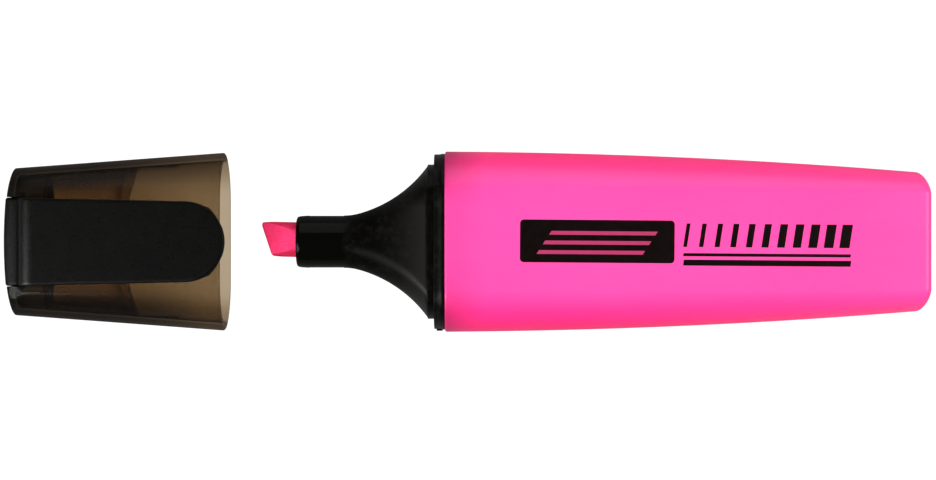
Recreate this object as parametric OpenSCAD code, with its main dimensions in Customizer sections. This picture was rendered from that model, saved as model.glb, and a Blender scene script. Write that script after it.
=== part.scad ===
// Highlighter with a flat oval barrel, a flared nose, a chisel nib and a clear smoke cap with a clip.
// The pen lies on its flat face, its axis along X with the tail at +X, and the cap stands off in line
// with the nib. The origin is at the middle of the footprint.

/* [Barrel] */
// Length of the barrel, from the collar to the tail
barrel_len = 71.1; // [64:0.1:80]
// Width of the barrel at the collar
barrel_w = 26.8; // [26.4:0.1:28]
// Thickness of the barrel at the collar
barrel_t = 16.5; // [16.1:0.1:17.5]
// Width of the barrel at the tail
tail_w = 20.5; // [19.4:0.1:24]
// Thickness of the barrel at the tail
tail_t = 13.4; // [13:0.1:15.6]
// Half of the width of the flat faces
flat_half = 6.9; // [6.5:0.1:7.1]
// Wall thickness of the barrel
barrel_wall = 1.4; // [1.2:0.1:1.5]

/* [Nose] */
// Diameter of the nozzle
nozzle_d = 7.7; // [7.3:0.1:7.8]
// Length of the nozzle's straight part
nozzle_len = 7; // [6:0.1:7.2]
// Length of the flare between the nozzle and the step ring
flare_len = 12.4; // [11.8:0.1:13]
// Length of the step ring that enters the cap's mouth
step_len = 1; // [0.6:0.1:1.5]
// Thickness of the collar flange that the cap seats on
flange_t = 1.6; // [1.2:0.1:2.4]
// Length of the plug skirt inside the barrel
skirt_len = 9; // [6:0.5:12]

/* [Nib] */
// Diameter of the felt rod
nib_d = 5.2; // [4.6:0.1:5.4]
// How far the nib stands out of the nozzle
nib_out = 5.4; // [4.8:0.1:6]
// Slant of the writing edge, in degrees from square
nib_slant = 19; // [0:1:25]
// Thickness of the nib at its writing edge
nib_edge_t = 1.9; // [1.2:0.1:2.6]
// How far the nib sits off the nozzle's axis, towards the long corner of its edge
nib_off = 0.3; // [0:0.05:0.35]

/* [Ink] */
// Diameter of the fibre core
reservoir_d = 11.2; // [9:0.1:11.2]
// Length of the fibre core
reservoir_len = 54; // [40:1:56]

/* [Cap] */
// Length of the cap shell
cap_len = 31.6; // [31:0.1:33]
// Width of the cap shell at its mouth
cap_w = 26.5; // [26.2:0.1:26.8]
// Thickness of the cap shell at its mouth
cap_t = 16; // [15.9:0.1:16.5]
// Width of the cap shell at its closed end
cap_end_w = 21.8; // [21.2:0.1:23]
// Thickness of the cap shell at its closed end
cap_end_t = 10.4; // [10.2:0.1:11.2]
// Wall thickness of the cap shell
cap_wall = 1.1; // [0.9:0.1:1.2]
// Gap between the cap's mouth and the nib when the cap is off
cap_gap = 5.3; // [2:0.1:20]

/* [Clip] */
// Width of the clip at its root
clip_w = 13; // [11:0.1:13.4]
// Width of the clip where its round tip starts
clip_tip_w = 11.7; // [9:0.1:12]
// Thickness of the clip's arm
clip_t = 1.5; // [1.2:0.1:1.7]

/* [Hidden] */
$fn = 96;

// Clearance between pieces that are pushed together
fit = 0.05;
// Overshoot of a cutting solid past the face that it cuts
cut = 1;
// Points along each quarter of an oval ring
arc_n = 14;

// Places along the pen. The clip's root stands proud of the cap's closed end.
root_proud = 0.5;
cap_travel = step_len + flare_len + nozzle_len + nib_out + cap_gap;
total_len = root_proud + cap_len + cap_travel + flange_t + barrel_len;
x_tail = total_len / 2;
x_barrel = x_tail - barrel_len;
x_seat = x_barrel - flange_t;
x_step = x_seat - step_len;
x_flare = x_step - flare_len;
x_nozzle = x_flare - nozzle_len;
x_nib = x_nozzle - nib_out;
x_mouth = x_nib - cap_gap;
x_end = x_mouth - cap_len;
axis_z = barrel_t / 2;

// Barrel: the flat faces stay parallel for this part of its length, then draw in towards the tail
parallel_part = 0.42;
// Share of the width's taper that is straight; the rest grows with the square of the length
straight_taper = 0.12;
// Rounding of the tail: along the axis, and inwards at the sides
tail_round_x = 1.3;
tail_round_y = 2.1;
face_round = 1;
front_round = 0.3;
rib_t = 1;
rib_start = 1;
rib_end = 9;

// Nose: the flare's outline is two arcs, a tight one that leaves the nozzle and a wide one
tight_r = 8;
tight_angle = 16;
end_angle = 54.8;
flare_end_w = 22.5;
flare_end_t = 12.2;
flare_arc = 4.4;
step_w = 22.95;
step_t = 12.6;
flange_w = 26.05;
flange_thick = 15.75;
nozzle_round = 0.4;
nose_wall = 1.4;
skirt_wall = 1.1;
guide_wall = 1.2;
web_t = 1.2;

// Reservoir: the film, and how far the nib runs into the fibre
film_t = 0.15;
reservoir_front = x_barrel + 0.6;
nib_depth = 8;

// Cap
end_wall = 1.2;
// The closed end bows out: how deep along the axis, how far in from the sides, and how sharply
end_bow_x = 0.6;
end_bow_y = 5;
end_bow_power = 1.6;
// Half of the width of the cap's flat faces at its mouth, and at its closed end
cap_flat = 6;
cap_end_flat = 6.5;
rim_round = 0.3;
// Slot in the closed end for the clip's root: wide at the end, then just wider than the clip
slot_w = 14.6;
slot_len = 1.3;
slot_z = 1.1;
slot_inner_w = clip_w + 0.4;
slot_inner_len = 2.9;
// Guide ribs inside the shell, just ahead of the inner seal
guide_rib_len = 6;
guide_rib_h = 0.6;
guide_rib_t = 0.7;
// Inner seal: where its lip and its tube lie, from the closed end
lip_u = 17.7;
lip_t = 1.2;
liner_wall = 0.8;
seal_len = 7.3;
seal_wall = 0.8;
chamber_r = 3.3;
lead_in = 0.5;
// End plug
plug_end_u = 5.3;
plug_recess_u = 4.1;
plug_pocket_t = 1.2;

// Clip: the knuckle at its root turns in the end plug, at the foot of a neck
knuckle_u = 2.25;
knuckle_z = 2.5;
knuckle_r = 1.2;
neck_u = 2.45;
neck_z = 3.2;
neck_gap = 0.3;
root_low = 1.6;
root_high = 4.3;
root_u = 1;
root_round = 0.6;
crease_u = 1.8;
crease_z = 5.45;
bend_r = 1.8;
arm_root_u = 4;
arm_root_z = 7.43;
arm_tip_u = 32.6;
arm_tip_z = 10.55;
bead_u = 30.9;
bead_r = 1.1;
bead_w = 8;
crown_r = 90;

// Point at an angle of a flat-faced oval: half-width w, half-thickness t and straight faces from -f
// to f, with elliptical sides. The side says which end of a straight face it belongs to.
function oval_point(x, w, t, f, a, side) = [x, side * f + (w - f) * cos(a), t * sin(a)];

// One ring of an oval at x, from section = [x, w, t, f]
function oval_ring(section) =
    let (x = section[0], w = section[1], t = section[2], f = section[3])
    concat(
        [for (i = [0 : arc_n]) oval_point(x, w, t, f, 90 * i / arc_n, 1)],
        [for (i = [0 : arc_n]) oval_point(x, w, t, f, 90 + 90 * i / arc_n, -1)],
        [for (i = [1 : arc_n]) oval_point(x, w, t, f, 180 + 90 * i / arc_n, -1)],
        [for (i = [0 : arc_n - 1]) oval_point(x, w, t, f, 270 + 90 * i / arc_n, 1)]
    );

ring_n = 4 * arc_n + 2;

// Closed skin over a list of sections, in order of x
module loft(sections) {
    last = len(sections) - 1;
    polyhedron(
        points = [for (s = sections) each oval_ring(s)],
        faces = concat(
            [[for (j = [0 : ring_n - 1]) j]],
            [[for (j = [ring_n - 1 : -1 : 0]) last * ring_n + j]],
            [for (i = [0 : last - 1], j = [0 : ring_n - 1])
                [i * ring_n + j, (i + 1) * ring_n + j, (i + 1) * ring_n + (j + 1) % ring_n]],
            [for (i = [0 : last - 1], j = [0 : ring_n - 1])
                [i * ring_n + j, (i + 1) * ring_n + (j + 1) % ring_n, i * ring_n + (j + 1) % ring_n]]
        ),
        convexity = 6
    );
}

// How far an edge rounded by rx along the axis and r inwards has drawn in, at a distance d from it
function edge_inset(d, rx, r) = d >= rx ? 0 : r * (1 - sqrt(1 - pow(1 - max(d, 0) / rx, 2)));

// Solid of revolution about the pen's axis, from points [x, r]
module turned(points) {
    rotate([0, 90, 0])
        rotate_extrude()
            polygon([for (p = points) [p[1], p[0]]]);
}

module rod(x0, x1, r) {
    translate([x0, 0, 0])
        rotate([0, 90, 0])
            cylinder(h = x1 - x0, r = r);
}

module on_axis() {
    translate([0, 0, axis_z])
        children();
}

// Places the nib, and the holes that it runs through
module on_nib_line() {
    translate([0, nib_off, 0])
        children();
}

// ---- Barrel ----

function barrel_half_w(x) =
    let (s = (x - x_barrel) / barrel_len)
    barrel_w / 2 - (barrel_w - tail_w) / 2 * (straight_taper * s + (1 - straight_taper) * s * s);

function barrel_half_t(x) =
    let (s = (x - x_barrel) / barrel_len, k = max(0, s - parallel_part) / (1 - parallel_part))
    barrel_t / 2 - (barrel_t - tail_t) / 2 * k * k;

function barrel_section(x) =
    let (
        w = barrel_half_w(x) - edge_inset(x_tail - x, tail_round_x, tail_round_y)
            - edge_inset(x - x_barrel, front_round, front_round),
        t = barrel_half_t(x) - edge_inset(x_tail - x, face_round, face_round)
            - edge_inset(x - x_barrel, front_round, front_round)
    )
    [x, w, t, min(flat_half, w - face_round)];

module barrel_skin() {
    body_steps = 18;
    round_steps = 8;
    body_end = x_tail - tail_round_x;
    body_start = x_barrel + front_round;
    loft(concat(
        [for (k = [0 : 2]) barrel_section(x_barrel + front_round * (1 - cos(30 * k)))],
        [for (k = [0 : body_steps]) barrel_section(body_start + (body_end - body_start) * k / body_steps)],
        [for (k = [1 : round_steps]) barrel_section(body_end + tail_round_x * sin(90 * k / round_steps))]
    ));
}

module barrel_cavity() {
    steps = 10;
    cavity_end = x_tail - tail_round_x;
    loft(concat(
        [[x_barrel - cut, barrel_w / 2 - barrel_wall, barrel_t / 2 - barrel_wall, flat_half]],
        [for (k = [0 : steps])
            let (x = x_barrel + (cavity_end - x_barrel) * k / steps)
            [x, barrel_half_w(x) - barrel_wall, barrel_half_t(x) - barrel_wall, flat_half]]
    ));
}

// Ribs along the cavity that hold the reservoir in the middle
module barrel_ribs() {
    start = x_barrel + skirt_len + rib_start;
    length = x_tail - rib_end - start;
    difference() {
        union() {
            translate([start, -barrel_w / 2, -rib_t / 2])
                cube([length, barrel_w, rib_t]);
            translate([start, -rib_t / 2, -barrel_t / 2])
                cube([length, rib_t, barrel_t]);
        }
        rod(start - cut, start + length + cut, reservoir_d / 2 + film_t + 2 * fit);
    }
}

module barrel() {
    color("hotpink")
        on_axis()
            difference() {
                barrel_skin();
                difference() {
                    barrel_cavity();
                    barrel_ribs();
                }
            }
}

// ---- Nose section ----

// Rise of the flare's outline at a distance d behind the nozzle, before it is scaled to its end width
function wide_r() =
    (flare_len - tight_r * sin(tight_angle)) / (sin(end_angle) - sin(tight_angle));
function flare_rise(d) =
    let (tight_len = tight_r * sin(tight_angle))
    d <= tight_len
        ? tight_r * (1 - cos(asin(d / tight_r)))
        : tight_r * (1 - cos(tight_angle))
            + wide_r() * (cos(tight_angle) - cos(asin(sin(tight_angle) + (d - tight_len) / wide_r())));

function flare_section(d) =
    let (
        start_r = nozzle_d / 2 + fit,
        k = d / flare_len,
        w = start_r + (flare_end_w / 2 - start_r) * flare_rise(d) / flare_rise(flare_len),
        t = start_r + (flare_end_t / 2 - start_r) * pow(k, 1.2),
        side = start_r + (flare_arc - start_r) * k
    )
    [x_flare + d, w, t, w - side + fit];

function plug_section(x, gap) =
    [x, barrel_half_w(x) - barrel_wall - gap, barrel_half_t(x) - barrel_wall - gap, flat_half];

module nose_skin() {
    steps = 16;
    skirt_end = x_barrel + skirt_len;
    flange_flat = flat_half;
    step_flat = step_w / 2 - flare_arc;
    loft(concat(
        [for (k = [0 : steps]) flare_section(flare_len * k / steps)],
        [[x_step, step_w / 2, step_t / 2, step_flat]],
        [[x_seat, step_w / 2, step_t / 2, step_flat]],
        [[x_seat, flange_w / 2, flange_thick / 2, flange_flat]],
        [[x_barrel, flange_w / 2 + fit, flange_thick / 2 + fit, flange_flat]],
        [plug_section(x_barrel, fit)],
        [plug_section(skirt_end - skirt_wall, fit)],
        [plug_section(skirt_end, fit + front_round)]
    ));
}

// Hollow inside the flare and the skirt, round the guide tube that carries the nib
module nose_hollow() {
    hollow_start = flare_len * 0.55;
    hollow_steps = 5;
    difference() {
        loft(concat(
            [for (k = [0 : hollow_steps])
                let (s = flare_section(hollow_start + (flare_len - nose_wall - hollow_start) * k / hollow_steps))
                [s[0], s[1] - nose_wall, s[2] - nose_wall, s[3] * 0.8]],
            [for (x = [x_barrel, x_barrel + skirt_len + cut]) plug_section(x, fit + skirt_wall)]
        ));
        rod(x_flare, x_barrel - fit, nib_d / 2 + guide_wall);
        translate([x_flare, -barrel_w / 2, -web_t / 2])
            cube([x_seat - x_flare, barrel_w, web_t]);
    }
}

module nose_section() {
    color([0.1, 0.1, 0.1])
        on_axis()
            difference() {
                union() {
                    nose_skin();
                    turned([
                        [x_nozzle, 0],
                        for (k = [0 : 6])
                            [x_nozzle + nozzle_round * (1 - cos(15 * k)),
                                nozzle_d / 2 - nozzle_round * (1 - sin(15 * k))],
                        [x_flare + cut, nozzle_d / 2],
                        [x_flare + cut, 0]
                    ]);
                }
                nose_hollow();
                on_nib_line()
                    rod(x_nozzle - cut, x_barrel + cut, nib_d / 2 + fit);
                rod(reservoir_front - fit, x_barrel + skirt_len + cut, reservoir_d / 2 + film_t + fit);
            }
}

// ---- Nib and ink ----

module nib() {
    wedge_len = nib_out - 0.9;
    back = reservoir_front + nib_depth;
    color([1, 0.3, 0.5])
        on_axis()
            on_nib_line()
                intersection() {
                    rod(x_nib, back, nib_d / 2);
                    // Side view: two facets that close towards the writing edge
                    rotate([90, 0, 0])
                        translate([0, 0, -nib_d])
                            linear_extrude(height = 2 * nib_d)
                                polygon([
                                    [x_nib, -nib_edge_t / 2], [x_nib + wedge_len, -nib_d / 2],
                                    [back, -nib_d / 2], [back, nib_d / 2],
                                    [x_nib + wedge_len, nib_d / 2], [x_nib, nib_edge_t / 2]
                                ]);
                    // Plan view: the slanted writing edge
                    translate([0, 0, -nib_d])
                        linear_extrude(height = 2 * nib_d)
                            polygon([
                                [x_nib, nib_d / 2], [back, nib_d / 2], [back, -nib_d / 2],
                                [x_nib + nib_d * tan(nib_slant), -nib_d / 2]
                            ]);
                }
}

module ink_reservoir() {
    color([1, 0.55, 0.75])
        on_axis()
            difference() {
                rod(reservoir_front, reservoir_front + reservoir_len, reservoir_d / 2);
                on_nib_line()
                    rod(reservoir_front - cut, reservoir_front + nib_depth + 0.5, nib_d / 2 + fit);
            }
}

module reservoir_wrap() {
    inner_r = reservoir_d / 2 + fit / 2;
    color([0.9, 0.9, 0.9])
        on_axis()
            difference() {
                rod(reservoir_front, reservoir_front + reservoir_len, inner_r + film_t);
                rod(reservoir_front - cut, reservoir_front + reservoir_len + cut, inner_r);
            }
}

// ---- Cap ----

// Section of the cap at a distance u from its closed end, drawn in by an inset
function cap_section(u, inset) =
    let (
        k = u / cap_len,
        w = cap_end_w / 2 + (cap_w - cap_end_w) / 2 * k - inset,
        t = cap_end_t / 2 + (cap_t - cap_end_t) / 2 * k - inset
    )
    [x_end + u, w, t, cap_end_flat + (cap_flat - cap_end_flat) * k - inset / 2];

// How far the sides have drawn in on the bowed end, at a distance u from its middle
function end_bow(u) = end_bow_y * pow(max(0, 1 - sqrt(u / end_bow_x)), end_bow_power);

// Outer section, with the closed end bowed and the rim rounded
function cap_skin_section(u) =
    let (
        s = cap_section(u, edge_inset(cap_len - u, rim_round, rim_round)),
        w = s[1] - end_bow(u),
        t = s[2] - edge_inset(u, face_round, face_round)
    )
    [s[0], w, t, min(s[3], w - face_round)];

module cap_skin() {
    round_steps = 8;
    body_steps = 4;
    body_end = cap_len - rim_round;
    loft(concat(
        [for (k = [0 : round_steps]) cap_skin_section(end_bow_x * pow(k / round_steps, 2))],
        [for (k = [1 : body_steps])
            cap_skin_section(end_bow_x + (body_end - end_bow_x) * k / body_steps)],
        [for (k = [1 : 3]) cap_skin_section(body_end + rim_round * sin(30 * k))]
    ));
}

module cap_space(u0, u1, inset) {
    loft([cap_section(u0, inset), cap_section(u1, inset)]);
}

module cap_shell() {
    rib_outer = cap_w / 2;
    rib_inner = cap_section(lip_u + guide_rib_len, cap_wall)[1] - guide_rib_h;
    color([0.35, 0.3, 0.25, 0.6])
        on_axis()
            difference() {
                cap_skin();
                difference() {
                    cap_space(end_wall, cap_len + cut, cap_wall);
                    for (side = [-1, 1])
                        translate([
                            x_end + lip_u + fit, side * (rib_inner + rib_outer) / 2 - (rib_outer - rib_inner) / 2,
                            -guide_rib_t / 2
                        ])
                            cube([guide_rib_len, rib_outer - rib_inner, guide_rib_t]);
                }
                translate([x_end - cut, -slot_w / 2, slot_z])
                    cube([slot_len + cut, slot_w, cap_end_t]);
                translate([x_end, -slot_inner_w / 2, slot_z])
                    cube([slot_inner_len, slot_inner_w, cap_end_t]);
            }
}

module cap_inner_seal() {
    seal_r = nozzle_d / 2 + fit;
    start = plug_end_u + fit;
    shoulder = lip_u - seal_len;
    color([0.3, 0.25, 0.2, 0.6])
        on_axis()
            difference() {
                union() {
                    difference() {
                        cap_space(start, lip_u, cap_wall + fit);
                        cap_space(start - cut, lip_u - lip_t, cap_wall + fit + liner_wall);
                    }
                    rod(x_end + start, x_end + shoulder, chamber_r + seal_wall);
                    rod(x_end + shoulder - seal_wall, x_end + lip_u - fit, seal_r + seal_wall);
                }
                turned([
                    [x_end + start - cut, 0], [x_end + start - cut, chamber_r],
                    [x_end + shoulder, chamber_r], [x_end + shoulder, seal_r],
                    [x_end + lip_u - lead_in, seal_r], [x_end + lip_u + fit, seal_r + lead_in + fit],
                    [x_end + lip_u + cut, seal_r + lead_in + fit], [x_end + lip_u + cut, 0]
                ]);
            }
}

module cap_end_plug() {
    pocket_y = chamber_r + 1.4;
    pocket_w = cap_end_w / 2 - 2.6 - pocket_y;
    color([0.12, 0.12, 0.12])
        on_axis()
            difference() {
                cap_space(end_wall + fit, plug_end_u, cap_wall + fit);
                // Bearing for the clip's knuckle, open upwards for its neck
                translate([x_end + knuckle_u, slot_w / 2, knuckle_z])
                    rotate([90, 0, 0])
                        cylinder(h = slot_w, r = knuckle_r + fit);
                translate([x_end, -slot_w / 2, neck_z - neck_gap])
                    cube([neck_u + neck_gap, slot_w, cap_end_t]);
                // Recess ahead of the nib, and pockets that keep the wall even
                rod(x_end + plug_recess_u, x_end + plug_end_u + cut, chamber_r);
                for (side = [-1, 1])
                    translate([
                        x_end + end_wall + plug_pocket_t, side * (pocket_y + pocket_w / 2) - pocket_w / 2,
                        -cap_end_t / 2 + cap_wall + plug_pocket_t
                    ])
                        cube([plug_end_u, pocket_w, knuckle_z - knuckle_r - plug_pocket_t / 2
                            + cap_end_t / 2 - cap_wall - plug_pocket_t]);
            }
}

// ---- Clip ----

// Points of an arc about [cu, cz], from angle a0 to a1
function arc_points(cu, cz, r, a0, a1, n) =
    [for (i = [0 : n]) let (a = a0 + (a1 - a0) * i / n) [cu + r * cos(a), cz + r * sin(a)]];

// Side view of the clip, from the root through the bend to the tip
module clip_side() {
    slope = (arm_tip_z - arm_root_z) / (arm_tip_u - arm_root_u);
    tilt = atan(slope);
    bend_u = arm_root_u - bend_r * sin(tilt);
    bend_z = arm_root_z - bend_r * cos(tilt);
    under_z = arm_root_z - clip_t / cos(tilt);
    nose_r = clip_t / 2;
    nose_z = arm_tip_z - nose_r * slope - nose_r / cos(tilt);
    polygon(concat(
        [[-root_proud, root_low]],
        arc_points(-root_proud + root_round, root_high - 0.2, root_round, 180, 118, 5),
        [[crease_u, crease_z]],
        arc_points(bend_u, bend_z, bend_r, 172, 90 + tilt, 8),
        arc_points(arm_tip_u - nose_r, nose_z, nose_r, 90 + tilt, -90 + tilt, 8),
        [[arm_root_u, under_z], [neck_u + 0.2, under_z - 0.15], [neck_u, under_z - 0.4]],
        [[neck_u, neck_z], [root_u, neck_z], [root_u, root_low]]
    ));
    translate([knuckle_u, knuckle_z])
        circle(r = knuckle_r);
}

// Plan of the clip: a slightly crowned root and a full round tip
module clip_plan() {
    tip_r = clip_tip_w / 2;
    tip_u = arm_tip_u - tip_r;
    intersection() {
        union() {
            polygon([
                [-cut, clip_w / 2], [tip_u, tip_r], [tip_u, -tip_r], [-cut, -clip_w / 2]
            ]);
            translate([tip_u, 0])
                circle(r = tip_r);
        }
        translate([crown_r - root_proud, 0])
            circle(r = crown_r, $fn = 720);
    }
}

module cap_clip() {
    bead_z = cap_section(bead_u, 0)[2] + fit + bead_r;
    color([0.16, 0.16, 0.16])
        on_axis()
            translate([x_end, 0, 0])
                union() {
                    intersection() {
                        rotate([90, 0, 0])
                            translate([0, 0, -clip_w])
                                linear_extrude(height = 2 * clip_w)
                                    clip_side();
                        linear_extrude(height = 3 * cap_t, center = true)
                            clip_plan();
                    }
                    translate([bead_u, bead_w / 2, bead_z])
                        rotate([90, 0, 0])
                            cylinder(h = bead_w, r = bead_r);
                }
}

barrel();
nose_section();
nib();
ink_reservoir();
reservoir_wrap();
cap_shell();
cap_inner_seal();
cap_end_plug();
cap_clip();
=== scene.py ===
"""Looks of the highlighter: a pink pen with a flared black nose, and its smoke cap in line with the nib."""

import math

import bmesh
import bpy
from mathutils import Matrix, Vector


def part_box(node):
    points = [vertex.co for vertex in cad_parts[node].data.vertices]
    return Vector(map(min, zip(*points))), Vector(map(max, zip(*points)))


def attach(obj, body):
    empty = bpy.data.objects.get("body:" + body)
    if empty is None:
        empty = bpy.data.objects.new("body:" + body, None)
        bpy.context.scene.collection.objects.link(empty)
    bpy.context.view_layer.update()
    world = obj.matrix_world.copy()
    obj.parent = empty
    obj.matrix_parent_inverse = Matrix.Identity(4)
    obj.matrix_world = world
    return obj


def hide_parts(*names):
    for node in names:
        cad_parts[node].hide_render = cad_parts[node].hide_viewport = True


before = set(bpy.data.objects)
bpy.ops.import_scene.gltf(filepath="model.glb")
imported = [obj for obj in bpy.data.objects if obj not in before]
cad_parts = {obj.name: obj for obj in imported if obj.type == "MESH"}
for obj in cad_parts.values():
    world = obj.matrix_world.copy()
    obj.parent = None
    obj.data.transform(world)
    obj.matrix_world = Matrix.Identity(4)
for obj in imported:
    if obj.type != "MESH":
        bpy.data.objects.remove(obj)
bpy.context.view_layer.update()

MM = 0.001

# ---- Places, from the boxes of the CAD parts ----

barrel_lo, barrel_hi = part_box("barrel")
nose_lo, nose_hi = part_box("nose_section")
nib_lo, nib_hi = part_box("nib")
shell_lo, shell_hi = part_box("cap_shell")
seal_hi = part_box("cap_inner_seal")[1]
clip_lo, clip_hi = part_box("cap_clip")

AXIS_Z = (barrel_lo.z + barrel_hi.z) / 2
BARREL_LEN = barrel_hi.x - barrel_lo.x
BARREL_W = barrel_hi.y - barrel_lo.y
BARREL_T = barrel_hi.z - barrel_lo.z
CAP_LEN = shell_hi.x - shell_lo.x
CAP_W = shell_hi.y - shell_lo.y
NIB_R = (nib_hi.y - nib_lo.y) / 2
NIB_Y = (nib_hi.y + nib_lo.y) / 2

# ---- Sizes of the mouldings, in metres, as the CAD has them ----

FLAT_HALF = 6.9 * MM
BARREL_WALL = 1.4 * MM
TAIL_W = 20.5 * MM
TAIL_T = 13.4 * MM
PARALLEL_PART = 0.42
STRAIGHT_TAPER = 0.12
TAIL_ROUND_X = 1.3 * MM
TAIL_ROUND_Y = 2.1 * MM
FACE_ROUND = 1.0 * MM
FRONT_ROUND = 0.3 * MM

FLANGE_T = 1.6 * MM
STEP_LEN = 1.0 * MM
FLARE_LEN = 12.4 * MM
NOZZLE_R = 3.85 * MM
FLARE_W = 11.25 * MM
FLARE_T = 6.1 * MM
FLARE_ARC = 4.4 * MM
FLARE_START = 0.05 * MM
FLARE_T_POWER = 1.2
STEP_W = 11.475 * MM
STEP_T = 6.3 * MM
FLANGE_W = 13.025 * MM
FLANGE_H = 7.875 * MM
TIGHT_R = 8.0 * MM
TIGHT_ANGLE = math.radians(16)
END_ANGLE = math.radians(54.8)

CAP_T = 16.0 * MM
CAP_END_W = 21.8 * MM
CAP_END_T = 10.4 * MM
CAP_FLAT = 6.0 * MM
CAP_END_FLAT = 6.5 * MM
CAP_WALL = 1.1 * MM
END_WALL = 1.2 * MM
END_BOW_X = 0.6 * MM
END_BOW_Y = 5.0 * MM
END_BOW_POWER = 1.6
RIM_ROUND = 0.3 * MM

X_BARREL = barrel_lo.x
X_TAIL = barrel_hi.x
X_SEAT = X_BARREL - FLANGE_T
X_STEP = X_SEAT - STEP_LEN
X_FLARE = X_STEP - FLARE_LEN
X_NOZZLE = nose_lo.x
X_NIB = nib_lo.x
X_END = shell_lo.x

# ---- Mesh building ----

QUARTER = 20
FACE_STEPS = 6
EDGE_STEPS = 4
NEARLY_HALF = 0.48
NEARLY_SHUT = 0.03


def oval(w, t, f):
    """Points (y, z) round a flat-faced oval, w and t from its middle, its faces straight from -f to f."""
    points = []
    for quarter, side in ((0, 1), (1, -1), (2, -1), (3, 1)):
        first = 1 if quarter == 2 else 0
        last = QUARTER - 1 if quarter == 3 else QUARTER
        for i in range(first, last + 1):
            a = math.pi / 2 * (quarter + i / QUARTER)
            points.append((side * f + (w - f) * math.cos(a), t * math.sin(a)))
        if quarter in (0, 2):
            points += [(side * f * (1 - 2 * k / FACE_STEPS), t * side) for k in range(1, FACE_STEPS)]
    return points


def new_piece(name, verts, faces, sharp=35):
    """A mesh piece with outward normals, smooth but for edges over the sharp angle."""
    mesh = bpy.data.meshes.new(name)
    mesh.from_pydata(verts, [], faces)
    bm = bmesh.new()
    bm.from_mesh(mesh)
    bmesh.ops.recalc_face_normals(bm, faces=bm.faces)
    bm.to_mesh(mesh)
    bm.free()
    piece = bpy.data.objects.new(name, mesh)
    bpy.context.scene.collection.objects.link(piece)
    smooth(piece, sharp)
    return piece


def smooth(piece, sharp=35):
    """Shades a piece smooth but for edges over the sharp angle."""
    mesh = piece.data
    mesh.polygons.foreach_set("use_smooth", [True] * len(mesh.polygons))
    mesh.set_sharp_from_angle(angle=math.radians(sharp))
    mesh.update()


def open_skin(rings, closed=False):
    """Vertices and faces of a skin over rings of points, open at its ends or closed from last to first."""
    n = len(rings[0])
    count = len(rings)
    verts = [point for ring in rings for point in ring]
    faces = []
    for i in range(count if closed else count - 1):
        a, b = i * n, (i + 1) % count * n
        faces += [(a + j, a + (j + 1) % n, b + (j + 1) % n, b + j) for j in range(n)]
    return verts, faces


def capped_skin(rings):
    """Vertices and faces of a skin over rings of points, with one face over each end."""
    verts, faces = open_skin(rings)
    n = len(rings[0])
    return verts, faces + [tuple(range(n)), tuple(range(len(verts) - n, len(verts)))]


def loft(name, sections, closed=False, sharp=35):
    """A piece over sections (x, w, t, f), capped at its ends or closed from last to first."""
    rings = [[(x, y, z + AXIS_Z) for y, z in oval(w, t, f)] for x, w, t, f in sections]
    skin = open_skin(rings, closed=True) if closed else capped_skin(rings)
    return new_piece(name, *skin, sharp=sharp)


def part_way(here, other, r):
    """The section at r from here towards another one, but less than half way to it."""
    in_plan = math.dist(here[:2], other[:2])
    in_height = math.dist((here[0], here[2]), (other[0], other[2]))
    k = min(r / max(in_plan, in_height), NEARLY_HALF)
    return [h + (o - h) * k for h, o in zip(here, other)]


def rounded(path, radii, steps=5):
    """The path of sections with its corners rounded, each by its radius, 0 for a corner that stays."""
    out = []
    for i, (here, r) in enumerate(zip(path, radii)):
        if r == 0:
            out.append(here)
            continue
        p = part_way(here, path[i - 1], r)
        q = part_way(here, path[(i + 1) % len(path)], r)
        for s in range(steps + 1):
            v = s / steps
            out.append(tuple(
                (1 - v) ** 2 * a + 2 * v * (1 - v) * h + v * v * b for a, h, b in zip(p, here, q)
            ))
    return out


def inset(d, rx, r):
    """How far an edge rounded by rx along the axis and r inwards has drawn in, at a distance d from it."""
    return 0.0 if d >= rx else r * (1 - math.sqrt(1 - (1 - max(d, 0) / rx) ** 2))


def cut(piece, tool, how="DIFFERENCE"):
    """Applies a boolean with another piece, and removes that piece."""
    mod = piece.modifiers.new("cut", "BOOLEAN")
    mod.operation = how
    mod.object = tool
    mod.solver = "EXACT"
    done = bpy.data.meshes.new_from_object(piece.evaluated_get(bpy.context.evaluated_depsgraph_get()))
    piece.modifiers.clear()
    piece.data = done
    bpy.data.objects.remove(tool)
    smooth(piece)


def block(name, lo, hi):
    """A box from its low to its high corner."""
    corners = [(x, y, z) for x in (lo[0], hi[0]) for y in (lo[1], hi[1]) for z in (lo[2], hi[2])]
    faces = [(0, 1, 3, 2), (4, 6, 7, 5), (0, 4, 5, 1), (2, 3, 7, 6), (0, 2, 6, 4), (1, 5, 7, 3)]
    return new_piece(name, corners, faces)


# ---- Materials ----


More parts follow.
